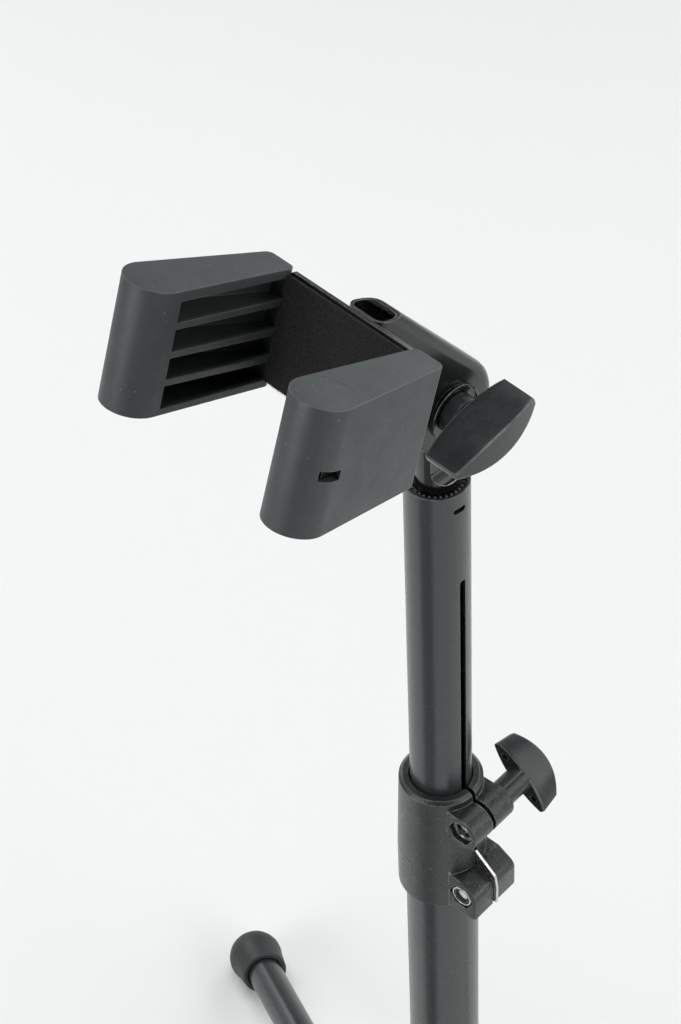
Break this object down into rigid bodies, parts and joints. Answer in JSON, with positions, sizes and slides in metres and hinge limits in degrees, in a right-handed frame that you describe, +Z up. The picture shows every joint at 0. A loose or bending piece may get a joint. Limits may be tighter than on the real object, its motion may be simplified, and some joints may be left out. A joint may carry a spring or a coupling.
{
  "type": "instrument cradle stand",
  "caption": "Height-adjustable playing stand: a telescoping column on folding legs carries a tilting padded cradle that grips an instrument's body.",
  "frame": {"origin": "centre of the object's footprint box on the floor, at the soles' height", "axes": "+Z up along the column, cradle opens towards -Y, tilt bolt along X"},
  "size_m": [0.5655, 0.5266, 0.8019],
  "materials": {
    "black_tube": "black powder coat, satin",
    "gloss_black": "black enamel, glossy",
    "cast_black": "black paint over a sand-cast grain",
    "knob_plastic": "moulded black nylon, fine matt",
    "arm_rubber": "dark grey moulded rubber, matt",
    "foot_rubber": "black moulded rubber, matt",
    "felt": "black napped felt",
    "zinc": "bright zinc plate",
    "nylon": "plain dark nylon"
  },
  "bodies": {
    "base": {"lower_tube": "black_tube", "column_plug": "knob_plastic", "clamp_collar": "cast_black", "clamp_nut": "zinc", "lock_nut": "zinc", "lock_nut_ring": "nylon", "clamp_screw": "zinc", "key_tongue": "zinc", "leg_hub": "cast_black", "hub_screw_1": "zinc", "hub_screw_2": "zinc", "hub_screw_3": "zinc", "leg_1_pin": "zinc", "leg_2_pin": "zinc", "leg_3_pin": "zinc"},
    "upper_column": {"upper_tube": "black_tube", "guide_bush": "knob_plastic", "tilt_post": "gloss_black", "grip_ring": "gloss_black"},
    "cradle": {"head_bracket": "gloss_black", "plate_spacer": "gloss_black", "plate_rivet_1": "zinc", "plate_rivet_2": "zinc", "back_plate": "gloss_black", "felt_pad": "felt", "left_arm": "arm_rubber", "right_arm": "arm_rubber", "cup_washer": "gloss_black", "friction_washer_left": "nylon", "friction_washer_right": "nylon", "far_washer": "zinc", "tilt_nut": "zinc"},
    "tilt_knob_body": {"tilt_knob": "knob_plastic", "tilt_bolt": "zinc"},
    "clamp_knob_body": {"clamp_knob": "knob_plastic", "clamp_bolt": "zinc"},
    "leg_1": {"leg_1_hinge_end": "cast_black", "leg_1_tube": "black_tube", "leg_1_foot_cap": "foot_rubber"},
    "leg_2": {"leg_2_hinge_end": "cast_black", "leg_2_tube": "black_tube", "leg_2_foot_cap": "foot_rubber"},
    "leg_3": {"leg_3_hinge_end": "cast_black", "leg_3_tube": "black_tube", "leg_3_foot_cap": "foot_rubber"}
  },
  "joints": [
    {"name": "height_slide", "type": "slide", "parent": "base", "child": "upper_column", "axis": [0, 0, 1], "range_m": [-0.15, 0.15]},
    {"name": "head_tilt", "type": "hinge", "parent": "upper_column", "child": "cradle", "pos_m": [0.0189, 0.0605, 0.715], "axis": [1, 0, 0], "range_deg": [-35, 60]},
    {"name": "tilt_knob_turn", "type": "hinge", "parent": "cradle", "child": "tilt_knob_body", "pos_m": [0.0189, 0.0605, 0.715], "axis": [1, 0, 0], "range_deg": [0, 270]},
    {"name": "clamp_knob_turn", "type": "hinge", "parent": "base", "child": "clamp_knob_body", "pos_m": [0.03859, 0.06257, 0.502], "axis": [-0.1045, 0.9945, 0], "range_deg": [0, 270]},
    {"name": "leg_1_fold", "type": "hinge", "parent": "base", "child": "leg_1", "pos_m": [-0.0124, 0.07379, 0.105], "axis": [0.3907, 0.9205, 0], "range_deg": [0, 105]},
    {"name": "leg_2_fold", "type": "hinge", "parent": "base", "child": "leg_2", "pos_m": [0.04605, 0.08096, 0.105], "axis": [0.6018, -0.7986, 0], "range_deg": [0, 105]},
    {"name": "leg_3_fold", "type": "hinge", "parent": "base", "child": "leg_3", "pos_m": [0.02304, 0.02675, 0.105], "axis": [-0.9925, -0.1219, 0], "range_deg": [0, 105]}
  ]
}
